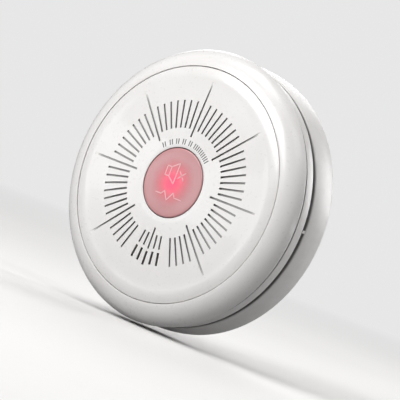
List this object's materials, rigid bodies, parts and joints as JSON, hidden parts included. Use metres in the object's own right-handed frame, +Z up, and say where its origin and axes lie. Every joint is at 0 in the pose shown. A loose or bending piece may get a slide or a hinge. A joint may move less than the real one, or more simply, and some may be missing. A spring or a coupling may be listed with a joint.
{
  "type": "smoke alarm",
  "caption": "Round wall or ceiling smoke alarm: a domed, grooved head with a lit test button that twists on to a shallow dished mounting base.",
  "frame": {"origin": "centre of the mounting base's back face, which lies against the wall", "axes": "+Y points into the wall and the face looks along -Y; +Z is up and +X is to the right seen from the front"},
  "size_m": [0.1172, 0.0314, 0.1172],
  "materials": {
    "white_shell": "fine satin moulded ABS",
    "white_gloss": "smooth glossy moulded ABS",
    "red_lens": "translucent, lit from behind",
    "white_inner": "satin moulded plastic",
    "lamp": "surface-mount lamp with clear window",
    "black_plastic": "matt black moulding",
    "board": "green solder resist",
    "screw_steel": "zinc-plated steel",
    "screen_steel": "etched steel mesh",
    "clear_epoxy": "smoked clear epoxy",
    "tinned_steel": "tinned strip",
    "brass": "rolled brass",
    "silvered_ceramic": "silvered piezo ceramic",
    "cell_sleeve": "shrink sleeve",
    "red_wire": "insulated wire",
    "black_wire": "insulated wire",
    "grey_slider": "acetal moulding",
    "ferrite": "ferrite drum",
    "chip_ceramic": "chip resistors and capacitors"
  },
  "bodies": {
    "base": {"mounting_base": "white_shell"},
    "head": {"rear_housing": "white_shell", "front_cover": "white_gloss", "face_disc": "white_gloss", "light_cup": "white_inner", "button_lamps": "lamp", "tact_switch": "black_plastic", "circuit_board": "board", "board_screws": "screw_steel", "housing_screws": "screw_steel", "chamber_base": "black_plastic", "chamber_cover": "black_plastic", "insect_screen": "screen_steel", "infrared_emitter": "clear_epoxy", "photodiode": "clear_epoxy", "diode_shield": "tinned_steel", "sounder_body": "white_inner", "sounder_cap": "white_inner", "piezo_plate": "brass", "piezo_ceramic": "silvered_ceramic", "sounder_contacts": "brass", "battery_cell": "cell_sleeve", "battery_tabs": "tinned_steel", "battery_retainer": "white_inner", "battery_lead_positive": "red_wire", "battery_lead_negative": "black_wire", "battery_plug": "white_inner", "battery_socket": "white_inner", "power_contacts": "tinned_steel", "microcontroller": "black_plastic", "driver_chip": "black_plastic", "storage_capacitors": "cell_sleeve", "boost_inductor": "ferrite", "small_components": "chip_ceramic"},
    "button": {"test_button": "red_lens", "button_carrier": "white_inner"},
    "plunger": {"tact_plunger": "black_plastic"},
    "slider": {"power_slider": "grey_slider", "slider_bridge": "brass"}
  },
  "joints": [
    {"name": "head_twist", "type": "hinge", "parent": "base", "child": "head", "pos_m": [0, 0, 0], "axis": [0, -1, 0], "range_deg": [0, 18]},
    {"name": "button_press", "type": "slide", "parent": "head", "child": "button", "axis": [0, 1, 0], "range_m": [0, 0.0012], "stiffness_N_per_m": 2500},
    {"name": "plunger_press", "type": "slide", "parent": "head", "child": "plunger", "axis": [0, 1, 0], "range_m": [0, 0.0003]},
    {"name": "slider_turn", "type": "hinge", "parent": "head", "child": "slider", "pos_m": [0, 0, 0], "axis": [0, -1, 0], "range_deg": [-18, 0]}
  ],
  "couplings": [
    {"joint": "plunger_press", "follows": "button_press", "ratio": 0.25},
    {"joint": "slider_turn", "follows": "head_twist", "ratio": -1}
  ]
}
